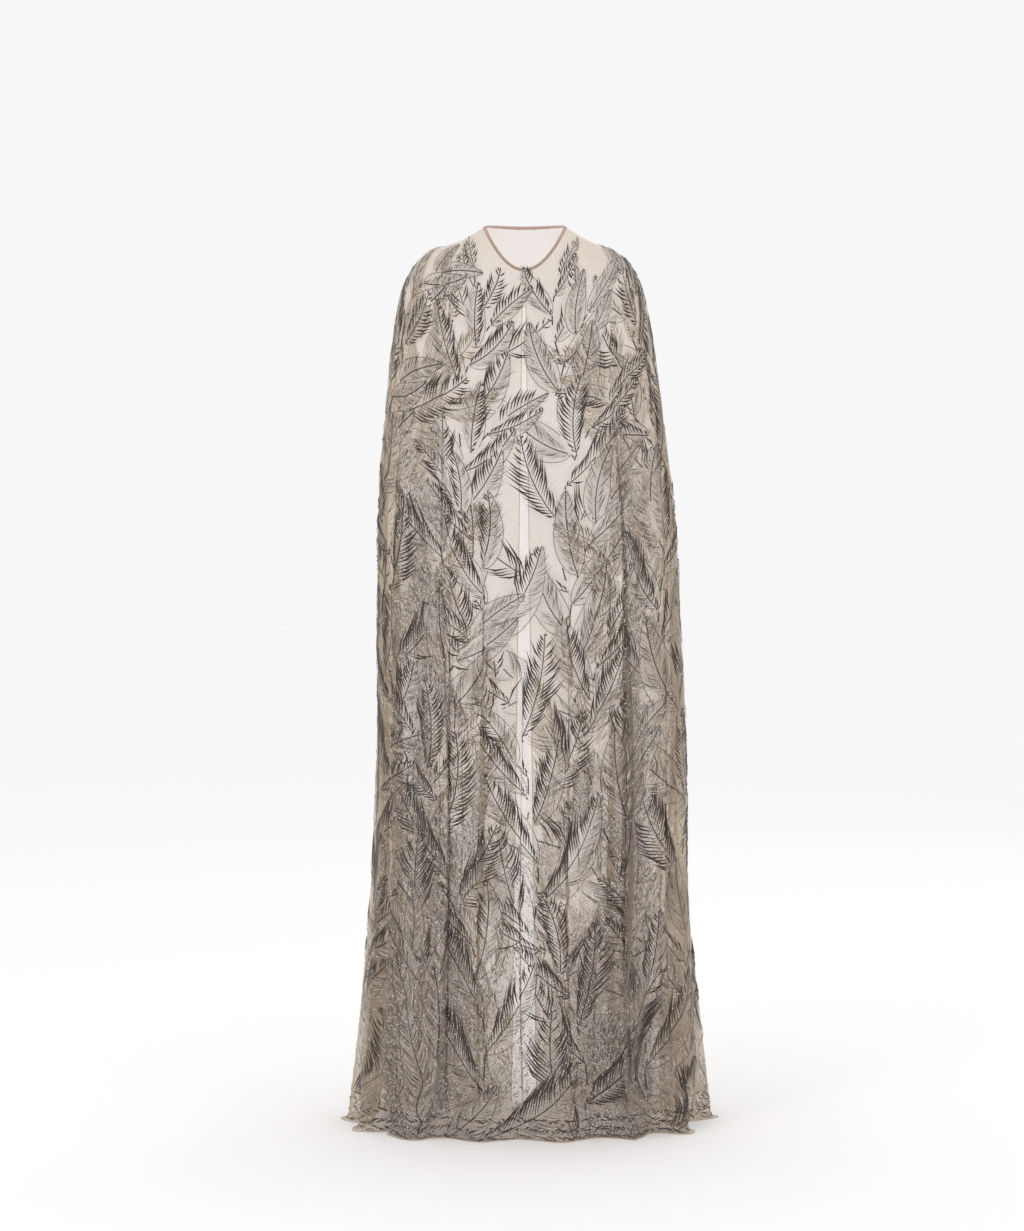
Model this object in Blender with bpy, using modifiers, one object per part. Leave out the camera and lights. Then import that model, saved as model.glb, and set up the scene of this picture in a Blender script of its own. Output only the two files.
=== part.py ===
"""A floor-length evening cloak of sheer tulle, hollow inside and standing as it is worn.

It hangs from a bound neck edge, lies over the shoulders and falls in soft flutes to a hem that
breaks outwards on the floor. One back panel and two front panels meet in seams that run over the
shoulders and down the sides; the fronts hang open below a hook and eye at the neck.

Metres, +Z up. The origin is the middle of the neck opening at nape height. -Y is the back of
the wearer, +X the wearer's right. Heights in the tables are above the floor.
"""

import math

import bpy
import numpy as np

# Driving dimensions
NAPE_HEIGHT = 1.569      # floor to the bound edge at the nape
CLOTH = 0.0012           # wall that stands for the tulle with its embroidery
SEAM_GAP = 0.0004        # between two panels at a seam
BINDING_WIDTH = 0.006    # bias strip round the neck
BINDING_THICKNESS = 0.002
NECK_GAP = 0.005         # between the two ends of the binding
FRONT_GAP = 0.046        # between the front edges at the hem
HEM_BEND = 0.009         # radius of the turn where the cloth meets the floor
WIRE = 0.0009            # diameter of the hook's and eye's wire

# Cloth lengths down the middle of the back where rows of faces lie
ROW_STRETCHES = ((0.0064, 0.24, 8), (0.24, 1.558, 11), (1.558, 1.592, 5))
BACK_COLUMNS = 56
FRONT_COLUMNS = 28

# The body of the cloak: a ring of cloth for each length down from the neck. square: 0 is an
# oval in plan, more has fuller corners.
RING_COLUMNS = (
    "down", "left", "right", "back", "front", "back_up", "side_up", "front_up", "square"
)
RINGS = (
    (0.000, 0.067, 0.070, 0.062, 0.054, 1.569, 1.576, 1.508, 0.000),
    (0.050, 0.110, 0.112, 0.085, 0.078, 1.524, 1.551, 1.465, 0.012),
    (0.080, 0.139, 0.135, 0.096, 0.091, 1.498, 1.541, 1.440, 0.024),
    (0.108, 0.165, 0.158, 0.106, 0.103, 1.470, 1.532, 1.413, 0.036),
    (0.138, 0.187, 0.183, 0.112, 0.113, 1.441, 1.513, 1.385, 0.044),
    (0.175, 0.206, 0.201, 0.118, 0.122, 1.404, 1.481, 1.349, 0.048),
    (0.210, 0.217, 0.213, 0.122, 0.128, 1.369, 1.449, 1.316, 0.050),
    (0.255, 0.226, 0.222, 0.126, 0.132, 1.324, 1.402, 1.273, 0.050),
    (0.340, 0.235, 0.235, 0.130, 0.134, 1.239, 1.312, 1.191, 0.050),
    (0.430, 0.242, 0.244, 0.132, 0.135, 1.149, 1.217, 1.104, 0.050),
    (0.560, 0.249, 0.258, 0.134, 0.137, 1.019, 1.080, 0.979, 0.048),
    (0.740, 0.250, 0.264, 0.136, 0.140, 0.839, 0.891, 0.806, 0.046),
    (0.960, 0.249, 0.271, 0.139, 0.144, 0.619, 0.659, 0.595, 0.044),
    (1.180, 0.254, 0.268, 0.144, 0.149, 0.399, 0.427, 0.383, 0.042),
    (1.400, 0.267, 0.272, 0.150, 0.153, 0.179, 0.195, 0.172, 0.040),
    (1.550, 0.280, 0.275, 0.154, 0.156, 0.030, 0.037, 0.029, 0.040),
    (1.592, 0.284, 0.276, 0.155, 0.157, -0.010, -0.008, -0.010, 0.040),
)

# Flutes of the cloth. at: 0 is the middle of the back, 0.5 the right side seam and 1 the
# middle of the front, minus on the left. out: how far it stands out at the hem, minus for a
# trough. start: cloth length from the neck where it begins.
FLUTE_COLUMNS = ("at", "half_width", "out", "start")
FLUTES = (
    (-0.955, 0.028, 0.018, 0.25),
    (-0.890, 0.030, -0.016, 0.42),
    (-0.822, 0.030, 0.026, 0.24),
    (-0.750, 0.030, -0.022, 0.34),
    (-0.675, 0.030, 0.026, 0.30),
    (-0.600, 0.030, -0.018, 0.50),
    (-0.515, 0.036, 0.030, 0.55),
    (-0.435, 0.030, -0.020, 0.30),
    (-0.365, 0.030, 0.024, 0.22),
    (-0.290, 0.032, -0.026, 0.32),
    (-0.212, 0.030, 0.020, 0.36),
    (-0.140, 0.028, -0.014, 0.60),
    (-0.072, 0.028, 0.014, 0.50),
    (-0.005, 0.026, -0.012, 0.72),
    (0.062, 0.028, 0.015, 0.58),
    (0.135, 0.030, -0.015, 0.46),
    (0.204, 0.028, 0.016, 0.40),
    (0.268, 0.028, -0.018, 0.30),
    (0.338, 0.030, 0.034, 0.22),
    (0.428, 0.034, -0.030, 0.32),
    (0.535, 0.040, 0.060, 0.86),
    (0.628, 0.030, -0.020, 0.44),
    (0.698, 0.030, 0.026, 0.26),
    (0.772, 0.030, -0.022, 0.38),
    (0.842, 0.030, 0.026, 0.24),
    (0.908, 0.028, -0.016, 0.46),
    (0.966, 0.026, 0.018, 0.32),
)


def clear_scene():
    for found in list(bpy.data.objects):
        bpy.data.objects.remove(found, do_unlink=True)


def ring_values(name, down):
    """One column of RINGS at each length down, on a smooth curve through the rows."""
    table = np.array(RINGS)
    stations = table[:, RING_COLUMNS.index("down")]
    values = table[:, RING_COLUMNS.index(name)]
    slopes = np.gradient(values, stations)
    down = np.clip(down, stations[0], stations[-1])
    row = np.clip(np.searchsorted(stations, down, side="right") - 1, 0, len(stations) - 2)
    span = stations[row + 1] - stations[row]
    t = (down - stations[row]) / span
    return (
        (2 * t**3 - 3 * t**2 + 1) * values[row]
        + (t**3 - 2 * t**2 + t) * span * slopes[row]
        + (3 * t**2 - 2 * t**3) * values[row + 1]
        + (t**3 - t**2) * span * slopes[row + 1]
    )


def flute_height(around, down):
    """How far the flutes push the cloth out, growing from where each one starts."""
    hem = RINGS[-1][0]
    out = np.zeros(np.broadcast(around, down).shape)
    for at, half_width, depth, start in FLUTES:
        growth = np.clip((down - start) / (hem - start), 0, 1) ** 1.35
        out = out + depth * growth * np.exp(-(((around - at) / half_width) ** 2))
    return out


def ring_speed(down, half_size):
    """Metres of cloth for each unit of around, where the ring crosses an axis."""
    square = ring_values("square", down)
    return math.pi * half_size * (1 + 3 * square) / (1 - square)


def cloak_surface(around, down):
    """Points in the middle of the cloth. around is as in FLUTES, down the length from the neck."""
    around, down = np.broadcast_arrays(np.asarray(around, float), np.asarray(down, float))
    angle = math.pi * around
    side = np.where(around < 0, ring_values("left", down), ring_values("right", down))
    behind = np.abs(around) < 0.5
    depth = np.where(behind, ring_values("back", down), ring_values("front", down))
    square = ring_values("square", down)
    x = side * (np.sin(angle) + square * np.sin(3 * angle)) / (1 - square)
    y = -depth * (np.cos(angle) - square * np.cos(3 * angle)) / (1 - square)

    # Outward direction in plan, square to the ring
    along_x = side * (np.cos(angle) + 3 * square * np.cos(3 * angle))
    along_y = depth * (np.sin(angle) - 3 * square * np.sin(3 * angle))
    length = np.hypot(along_x, along_y)
    out_x, out_y = along_y / length, -along_x / length

    side_up = ring_values("side_up", down)
    end_up = np.where(behind, ring_values("back_up", down), ring_values("front_up", down))
    up = side_up + (end_up - side_up) * np.cos(angle) ** 2

    # What would pass below the floor turns outwards and lies on it
    past = np.maximum(HEM_BEND - up, 0)
    turn = np.minimum(past / HEM_BEND, math.pi / 2)
    height = np.where(past > 0, HEM_BEND * (1 - np.sin(turn)), up)
    spread = HEM_BEND * (1 - np.cos(turn)) + np.maximum(past - HEM_BEND * math.pi / 2, 0)

    push = flute_height(around, down) + spread
    return np.stack(
        [x + out_x * push, y + out_y * push, height + CLOTH / 2 - NAPE_HEIGHT], axis=-1
    )


def row_lengths():
    """Lengths down the cloth of the panels' rows, close together where it bends."""
    stretches = [
        np.linspace(start, end, rows, endpoint=False) for start, end, rows in ROW_STRETCHES
    ]
    return np.concatenate(stretches + [[ROW_STRETCHES[-1][1]]])


def front_edge(down, sign):
    """Where a front edge lies, as a value of around: the gap widens down the front."""
    share = np.clip(down / ROW_STRETCHES[-1][1], 0, 1)
    half_gap = NECK_GAP / 2 + (FRONT_GAP - NECK_GAP) / 2 * share
    side = ring_values("left" if sign < 0 else "right", down)
    return sign * (1 - half_gap / ring_speed(down, side))


def seam_edge(down, sign, towards):
    """Where a panel ends at a side seam. towards is 1 for a front panel and -1 for the back."""
    depth = ring_values("front" if towards > 0 else "back", down)
    return sign * (0.5 + towards * SEAM_GAP / 2 / ring_speed(down, depth))


def link(part, name, material):
    """Names a new object's mesh, gives it its material and puts it in the cloak's collection."""
    part.data.name = name
    part.data.materials.append(material)
    cloak_collection().objects.link(part)
    return part


def cloak_collection():
    found = bpy.data.collections.get("cloak")
    if found is None:
        found = bpy.data.collections.new("cloak")
        bpy.context.scene.collection.children.link(found)
    return found


def cloth_wall(name, points, thickness, material):
    """An open grid of cloth, rows by columns of points, made a closed wall by Solidify."""
    rows, columns = points.shape[:2]
    index = np.arange(rows * columns).reshape(rows, columns)
    quads = np.stack(
        [index[:-1, :-1], index[1:, :-1], index[1:, 1:], index[:-1, 1:]], axis=-1
    ).reshape(-1, 4)
    mesh = bpy.data.meshes.new(name)
    mesh.from_pydata(points.reshape(-1, 3).tolist(), [], quads.tolist())
    mesh.shade_smooth()
    wall = link(bpy.data.objects.new(name, mesh), name, material)
    solidify = wall.modifiers.new("thickness", "SOLIDIFY")
    solidify.thickness = thickness
    solidify.offset = 0
    solidify.use_even_offset = False
    return wall


def panel(name, first_edge, last_edge, columns, material):
    """A panel between two edges, each an array of around with one value for each row."""
    down = row_lengths()[:, None]
    share = np.linspace(0, 1, columns + 1)[None, :]
    around = first_edge[:, None] * (1 - share) + last_edge[:, None] * share
    return cloth_wall(name, cloak_surface(around, down), CLOTH, material)


def back_panel(material):
    down = row_lengths()
    return panel("back_panel", seam_edge(down, -1, -1), seam_edge(down, 1, -1), BACK_COLUMNS, material)


def front_panel(name, sign, material):
    """A front panel. sign is -1 for the wearer's left. Columns run the way the back's do."""
    down = row_lengths()
    edges = [seam_edge(down, sign, 1), front_edge(down, sign)]
    if sign < 0:
        edges.reverse()
    return panel(name, edges[0], edges[1], FRONT_COLUMNS, material)


def neck_binding(material):
    """The bias strip that holds the top edges, open at the front."""
    stations = 72
    down = np.linspace(0, BINDING_WIDTH, 3)
    edge = front_edge(np.zeros(1), 1)[0]
    around = np.linspace(-edge, edge, stations + 1)
    points = cloak_surface(around[None, :], down[:, None])
    return cloth_wall("neck_binding", points, BINDING_THICKNESS, material)


def wire(name, points, material):
    """A bent wire as a curve with a round bevel and closed ends."""
    curve = bpy.data.curves.new(name, "CURVE")
    curve.dimensions = "3D"
    curve.bevel_depth = WIRE / 2
    curve.bevel_resolution = 2
    curve.use_fill_caps = True
    spline = curve.splines.new("POLY")
    spline.points.add(len(points) - 1)
    for place, point in zip(spline.points, points):
        place.co = (*point, 1)
    return link(bpy.data.objects.new(name, curve), name, material)


def fastening_frame():
    """Where hook and eye meet: a point in front of the binding's ends and how steep they are."""
    edge = front_edge(np.zeros(1), 1)[0]
    top, low = cloak_surface(np.array([edge, edge]), np.array([0.0, BINDING_WIDTH]))
    middle = (top + low) / 2
    middle[0] = 0
    slope = (low - top) / np.linalg.norm(low - top)
    slope[0] = 0
    return middle, slope / np.linalg.norm(slope)


def neck_eye(material):
    """A wire loop sewn on the inside of the right end, reaching into the gap."""
    middle, slope = fastening_frame()
    inward = np.array([0.0, slope[2], -slope[1]])
    behind = BINDING_THICKNESS / 2 + WIRE / 2 + 0.0003
    loop = []
    for step in range(13):
        turn = math.pi * (0.5 + step / 12)
        loop.append((0.0005 + 0.0021 * math.cos(turn), 0.0019 * math.sin(turn)))
    flat = [(0.008, 0.0019)] + loop + [(0.008, -0.0019)]
    place = [middle + inward * behind + np.array([a, 0, 0]) + slope * b for a, b in flat]
    return wire("neck_eye", place, material)


def neck_hook(material):
    """A wire hook sewn on the inside of the left end, its bill passed through the eye."""
    middle, slope = fastening_frame()
    inward = np.array([0.0, slope[2], -slope[1]])
    near = BINDING_THICKNESS / 2 + WIRE / 2 + 0.0003
    far = near + 2 * (WIRE + 0.0005)
    outline = [(-0.009, near), (-0.0042, near), (-0.0034, near + 0.0003), (-0.0028, far - 0.0006)]
    outline += [(-0.0020, far), (0.0002, far), (0.0010, far - 0.0004), (0.0013, (near + far) / 2)]
    place = [middle + np.array([a, 0, 0]) + inward * b for a, b in outline]
    return wire("neck_hook", place, material)


def material(name, colour, roughness, metallic=0.0, alpha=1.0):
    made = bpy.data.materials.new(name)
    made.use_nodes = True
    shader = made.node_tree.nodes["Principled BSDF"]
    shader.inputs["Base Color"].default_value = (*colour, 1)
    shader.inputs["Roughness"].default_value = roughness
    shader.inputs["Metallic"].default_value = metallic
    shader.inputs["Alpha"].default_value = alpha
    return made


def main():
    clear_scene()
    tulle = material("embroidered_tulle", (0.35, 0.30, 0.26), 0.75, alpha=0.8)
    bias_strip = material("bias_strip", (0.42, 0.28, 0.24), 0.6)
    steel = material("hook_wire", (0.45, 0.43, 0.42), 0.35, metallic=1.0)
    back_panel(tulle)
    front_panel("front_panel_left", -1, tulle)
    front_panel("front_panel_right", 1, tulle)
    neck_binding(bias_strip)
    neck_hook(steel)
    neck_eye(steel)


main()
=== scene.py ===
import math

import bpy
import numpy as np
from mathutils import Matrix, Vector


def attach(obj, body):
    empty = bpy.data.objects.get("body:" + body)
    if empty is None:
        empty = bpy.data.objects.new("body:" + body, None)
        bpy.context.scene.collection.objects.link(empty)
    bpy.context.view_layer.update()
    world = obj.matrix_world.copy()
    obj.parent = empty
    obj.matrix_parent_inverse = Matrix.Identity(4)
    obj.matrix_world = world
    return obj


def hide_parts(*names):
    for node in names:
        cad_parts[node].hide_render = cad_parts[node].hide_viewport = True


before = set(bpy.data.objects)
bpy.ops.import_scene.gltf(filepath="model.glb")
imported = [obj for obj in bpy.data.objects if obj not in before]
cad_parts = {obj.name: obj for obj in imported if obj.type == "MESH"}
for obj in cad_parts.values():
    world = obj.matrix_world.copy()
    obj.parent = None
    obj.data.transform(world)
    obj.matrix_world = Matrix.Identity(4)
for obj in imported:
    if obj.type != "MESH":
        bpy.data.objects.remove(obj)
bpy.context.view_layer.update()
print("frame loaded")


# the hanging cloth, as in the part's source, with its finer creases

cloak = {
    "napeHeight": 1.569,    # floor to the neck edge, in metres
    "bendRadius": 0.009,    # where the cloth turns out on the floor
    "wall": 0.0012,
    "seamGap": 0.0004,
    "neckGap": 0.005,
    "frontGap": 0.046,
    "bindingWidth": 0.006,
    # each ring in millimetres: length down, half sizes to the left, right, back and front,
    # heights at the back, side and front, and how square it is in thousandths
    "ringNames": (
        "down", "left", "right", "back", "front", "backUp", "sideUp", "frontUp", "square",
    ),
    "rings": (
        (0, 67, 70, 62, 54, 1569, 1576, 1508, 0),
        (50, 110, 112, 85, 78, 1524, 1551, 1465, 12),
        (80, 139, 135, 96, 91, 1498, 1541, 1440, 24),
        (108, 165, 158, 106, 103, 1470, 1532, 1413, 36),
        (138, 187, 183, 112, 113, 1441, 1513, 1385, 44),
        (175, 206, 201, 118, 122, 1404, 1481, 1349, 48),
        (210, 217, 213, 122, 128, 1369, 1449, 1316, 50),
        (255, 226, 222, 126, 132, 1324, 1402, 1273, 50),
        (340, 235, 235, 130, 134, 1239, 1312, 1191, 50),
        (430, 242, 244, 132, 135, 1149, 1217, 1104, 50),
        (560, 249, 258, 134, 137, 1019, 1080, 979, 48),
        (740, 250, 264, 136, 140, 839, 891, 806, 46),
        (960, 249, 271, 139, 144, 619, 659, 595, 44),
        (1180, 254, 268, 144, 149, 399, 427, 383, 42),
        (1400, 267, 272, 150, 153, 179, 195, 172, 40),
        (1550, 280, 275, 154, 156, 30, 37, 29, 40),
        (1592, 284, 276, 155, 157, -10, -8, -10, 40),
    ),
    "fluteGrowth": 1.35,    # power of the length below a flute's start by which it deepens
    # in thousandths: at, half width, out, and the length down where it starts. at is 0 in the
    # middle of the back, 500 at the right side seam and 1000 in the middle of the front
    "flutes": (
        (-955, 28, 18, 250),
        (-890, 30, -16, 420),
        (-822, 30, 26, 240),
        (-750, 30, -22, 340),
        (-675, 30, 26, 300),
        (-600, 30, -18, 500),
        (-515, 36, 30, 550),
        (-435, 30, -20, 300),
        (-365, 30, 24, 220),
        (-290, 32, -26, 320),
        (-212, 30, 20, 360),
        (-140, 28, -14, 600),
        (-72, 28, 14, 500),
        (-5, 26, -12, 720),
        (62, 28, 15, 580),
        (135, 30, -15, 460),
        (204, 28, 16, 400),
        (268, 28, -18, 300),
        (338, 30, 34, 220),
        (428, 34, -30, 320),
        (535, 40, 60, 860),
        (628, 30, -20, 440),
        (698, 30, 26, 260),
        (772, 30, -22, 380),
        (842, 30, 26, 240),
        (908, 28, -16, 460),
        (966, 26, 18, 320),
    ),
}

# soft creases that run down the cloth. A crease that leans further than it is wide folds over
# its neighbour
creases = {
    "rise": 0.35,           # length over which one begins
    "first": 0.45,          # of its depth, from where it deepens evenly to its end
    "fall": 0.25,           # length over which one that ends above the hem fades
    "past": 0.05,           # how far past its end it is gone
    "wander": 2.4 * math.pi,  # turns of the sine by which it wanders
    "settle": 0.7,          # how far they flatten where the hem lies on the floor
    "settleFrom": (1.47, 1.57),
    # at as above, then in millimetres: half width, out, lean, the lengths down where it starts
    # and stops, and how far it wanders by its end
    "rows": (
        (-880, 5, 3, 13, 220, 1600, 4),
        (-765, 5, 3, -13, 140, 1200, -3),
        (-585, 5, 3, 12, 200, 1600, 4),
        (-380, 5, 3, 15, 140, 1600, 3),
        (-283, 5, 3, -13, 120, 1250, -3),
        (-210, 5, 3, 13, 260, 1600, 2),
        (-134, 5, 3, -13, 160, 1600, 3),
        (-84, 4, 2, 12, 340, 1300, -2),
        (4, 4, 2, -12, 480, 1600, 2),
        (68, 5, 3, 13, 300, 1600, 3),
        (140, 5, 3, -13, 140, 1600, -2),
        (204, 5, 3, 13, 240, 1350, 3),
        (270, 5, 3, 15, 120, 1600, -3),
        (338, 5, 3, -13, 140, 1600, 3),
        (398, 5, 3, 13, 120, 1600, 2),
        (612, 5, 3, -13, 180, 1600, 3),
        (690, 5, 3, 12, 220, 1300, -3),
        (838, 5, 3, -13, 160, 1600, 4),
        (905, 5, 3, 13, 300, 1600, -2),
        (-930, 11, 6, 6, 200, 1200, 6),
        (-855, 12, -6, 0, 300, 1600, -4),
        (-790, 11, 11, -25, 120, 1600, 5),
        (-712, 12, 6, 6, 350, 1350, 4),
        (-640, 12, 12, 30, 140, 1600, -5),
        (-560, 11, -6, 0, 240, 1600, 6),
        (-478, 11, 8, 10, 160, 1600, 4),
        (-448, 10, -5, 0, 260, 1100, -3),
        (-405, 12, 12, -30, 160, 1600, 6),
        (-342, 11, -5, 0, 340, 1450, 3),
        (-318, 10, 8, 13, 280, 1600, -6),
        (-262, 13, 14, -36, 200, 1600, 4),
        (-232, 8, -5, 0, 420, 1200, 2),
        (-188, 12, 12, 33, 160, 1600, -5),
        (-158, 10, 3, 4, 700, 1600, 4),
        (-110, 11, -5, 0, 380, 1500, -3),
        (-56, 12, 11, -28, 320, 1600, 4),
        (-30, 8, -3, 0, 620, 1350, 3),
        (18, 11, 6, 8, 440, 1600, -4),
        (40, 8, -3, 0, 260, 950, 2),
        (92, 11, 6, -10, 520, 1600, 5),
        (118, 10, -5, 0, 320, 1200, -3),
        (160, 13, 14, 36, 180, 1600, 4),
        (186, 8, -3, 0, 500, 1400, 2),
        (222, 12, 12, -30, 140, 1600, -6),
        (250, 10, -5, 0, 300, 1100, 3),
        (288, 12, 11, 28, 100, 1600, 4),
        (312, 8, 3, 0, 100, 600, 3),
        (362, 13, 14, 36, 120, 1600, -4),
        (385, 8, -5, 0, 120, 900, 2),
        (412, 10, 6, -7, 100, 1600, 4),
        (462, 11, -6, 0, 140, 1200, -3),
        (505, 12, 6, 8, 400, 1600, 4),
        (572, 12, 11, -28, 180, 1600, 5),
        (655, 11, 8, 11, 160, 1600, -5),
        (735, 12, -6, 0, 280, 1600, 4),
        (802, 12, 12, 30, 140, 1600, -4),
        (872, 11, 6, 0, 340, 1300, 5),
        (935, 11, -6, 0, 220, 1600, -3),
    ),
}
rings, flutes, creaseRows = (
    np.array(rows) / 1000 for rows in (cloak["rings"], cloak["flutes"], creases["rows"])
)
hemDown = float(rings[-1, 0])


def ringValue(name, down):
    # one column of the rings at each length down: a cubic through the rows with central slopes
    stations = rings[:, 0]
    values = rings[:, cloak["ringNames"].index(name)]
    slopes = np.gradient(values, stations)
    down = np.clip(down, stations[0], stations[-1])
    row = np.clip(np.searchsorted(stations, down, side="right") - 1, 0, len(stations) - 2)
    span = stations[row + 1] - stations[row]
    t = (down - stations[row]) / span
    return (
        (2 * t**3 - 3 * t**2 + 1) * values[row]
        + (t**3 - 2 * t**2 + t) * span * slopes[row]
        + (3 * t**2 - 2 * t**3) * values[row + 1]
        + (t**3 - t**2) * span * slopes[row + 1]
    )


def foldPush(around, down, reach):
    # metres outwards and sideways: a bell curve for each flute and crease, times its growth.
    # reach is metres of cloth for each unit of around at this height
    out = np.zeros(around.shape)
    side = np.zeros(around.shape)
    low = np.interp(down, creases["settleFrom"], [0, 1])
    settled = 1 - creases["settle"] * low * low * (3 - 2 * low)
    for at, halfWidth, depth, start in flutes:
        growth = np.clip((down - start) / (hemDown - start), 0, 1) ** cloak["fluteGrowth"]
        out += depth * growth * np.exp(-(((around - at) / halfWidth) ** 2))
    for at, halfWidth, depth, lean, start, stop, drift in creaseRows:
        share = np.clip((down - start) / (stop - start), 0, 1)
        rise = np.clip((down - start) / creases["rise"], 0, 1)
        fall = np.clip((stop + creases["past"] - down) / creases["fall"], 0, 1)
        fall = fall if stop < hemDown else 1.0
        deep = creases["first"] + (1 - creases["first"]) * share
        growth = rise * rise * (3 - 2 * rise) * fall * deep * settled
        wander = drift * np.sin(creases["wander"] * share)
        bell = growth * np.exp(-((((around - at - wander) * reach) / halfWidth) ** 2))
        out += depth * bell
        side += lean * bell
    return out, side


def hangingCloth(around, down):
    # the cloth's points: rings with fuller corners, pushed out and aside by the folds. What
    # would pass below the floor turns outwards on a small radius and lies there
    around, down = np.broadcast_arrays(np.asarray(around, float), np.asarray(down, float))
    angle = math.pi * around
    side = np.where(around < 0, ringValue("left", down), ringValue("right", down))
    behind = np.abs(around) < 0.5
    depth = np.where(behind, ringValue("back", down), ringValue("front", down))
    square = ringValue("square", down)
    x = side * (np.sin(angle) + square * np.sin(3 * angle)) / (1 - square)
    y = -depth * (np.cos(angle) - square * np.cos(3 * angle)) / (1 - square)
    alongX = side * (np.cos(angle) + 3 * square * np.cos(3 * angle))
    alongY = depth * (np.sin(angle) - 3 * square * np.sin(3 * angle))
    length = np.hypot(alongX, alongY)
    alongX, alongY = alongX / length, alongY / length
    reach = math.pi * length / (1 - square)
    sideUp = ringValue("sideUp", down)
    endUp = np.where(behind, ringValue("backUp", down), ringValue("frontUp", down))
    up = sideUp + (endUp - sideUp) * np.cos(angle) ** 2
    radius = cloak["bendRadius"]
    past = np.maximum(radius - up, 0)
    turn = np.minimum(past / radius, math.pi / 2)
    height = np.where(past > 0, radius * (1 - np.sin(turn)), up)
    spread = radius * (1 - np.cos(turn)) + np.maximum(past - radius * math.pi / 2, 0)
    out, aside = foldPush(around, down, reach)
    out = out + spread
    return np.stack(
        [
            x + alongY * out + alongX * aside,
            y - alongX * out + alongY * aside,
            height + cloak["wall"] / 2 - cloak["napeHeight"],
        ],
        axis=-1,
    )


def ringSpeed(down, halfSize):
    # metres of cloth for each unit of around where a ring crosses an axis
    square = ringValue("square", down)
    return math.pi * halfSize * (1 + 3 * square) / (1 - square)


def frontEdge(down, sign):
    share = np.clip(down / hemDown, 0, 1)
    halfGap = cloak["neckGap"] / 2 + (cloak["frontGap"] - cloak["neckGap"]) / 2 * share
    return sign * (1 - halfGap / ringSpeed(down, ringValue("left" if sign < 0 else "right", down)))


def seamEdge(down, sign, towards):
    depth = ringValue("front" if towards > 0 else "back", down)
    return sign * (0.5 + towards * cloak["seamGap"] / 2 / ringSpeed(down, depth))


panels = {  # first and last edge of each panel, as functions of the length down
    "back": (lambda d: seamEdge(d, -1, -1), lambda d: seamEdge(d, 1, -1)),
    "left": (lambda d: frontEdge(d, -1), lambda d: seamEdge(d, -1, 1)),
    "right": (lambda d: seamEdge(d, 1, 1), lambda d: frontEdge(d, 1)),
}


# meshes and materials

def linear(code):
    # an sRGB hex value as linear red, green, blue and 1
    channels = np.array([int(code[i : i + 2], 16) for i in (0, 2, 4)]) / 255
    low, high = channels / 12.92, ((channels + 0.055) / 1.055) ** 2.4
    return (*[float(v) for v in np.where(channels <= 0.04045, low, high)], 1.0)


def addNode(tree, kind, values=None, links=None, **settings):
    # one node with its settings, its sockets' values, and its links from other nodes' first
    # outputs or from named sockets
    node = tree.nodes.new("ShaderNode" + kind)
    for name, value in settings.items():
        setattr(node, name, value)
    for name, value in (values or {}).items():
        node.inputs[name].default_value = value
    for name, source in (links or {}).items():
        socket = source if isinstance(source, bpy.types.NodeSocket) else source.outputs[0]
        tree.links.new(socket, node.inputs[name])
    return node


def newMaterial(name):
    made = bpy.data.materials.new(name)
    made.use_nodes = True
    made.node_tree.nodes.clear()
    return made, made.node_tree


def addPiece(name, points, faces, material, smooth=True, body="root"):
    # a mesh from arrays of points and of faces, all with the same number of corners
    points = np.ascontiguousarray(points, dtype=np.float32).reshape(-1, 3)
    faces = np.ascontiguousarray(faces, dtype=np.int32)
    corners = faces.shape[1]
    mesh = bpy.data.meshes.new(name)
    mesh.vertices.add(len(points))
    mesh.vertices.foreach_set("co", points.ravel())
    mesh.loops.add(faces.size)
    mesh.loops.foreach_set("vertex_index", faces.ravel())
    mesh.polygons.add(len(faces))
    mesh.polygons.foreach_set("loop_start", np.arange(len(faces), dtype=np.int32) * corners)
    mesh.update(calc_edges=True)
    if smooth:
        mesh.shade_smooth()
    mesh.materials.append(material)
    piece = bpy.data.objects.new(name, mesh)
    bpy.context.scene.collection.objects.link(piece)
    if body:
        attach(piece, body)
    return piece


def gridFaces(rows, columns, closed=False):
    # quads of a grid of points, row by row. closed joins the last column to the first
    index = np.arange(rows * columns).reshape(rows, columns)
    if closed:
        index = np.concatenate([index, index[:, :1]], axis=1)
    quads = [index[:-1, :-1], index[1:, :-1], index[1:, 1:], index[:-1, 1:]]
    return np.stack(quads, axis=-1).reshape(-1, 4)


def setUv(piece, across, along):
    # a UV map in metres of cloth, from one value for each point
    mesh = piece.data
    corner = np.empty(len(mesh.loops), dtype=np.int32)
    mesh.loops.foreach_get("vertex_index", corner)
    layer = mesh.uv_layers.new(name="cut")
    uv = np.stack([np.ravel(across)[corner], np.ravel(along)[corner]], axis=-1)
    layer.data.foreach_set("uv", uv.astype(np.float32).ravel())


def setTone(piece, tone):
    layer = piece.data.attributes.new("tone", "FLOAT", "POINT")
    layer.data.foreach_set("value", np.ascontiguousarray(tone, dtype=np.float32).ravel())


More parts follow.
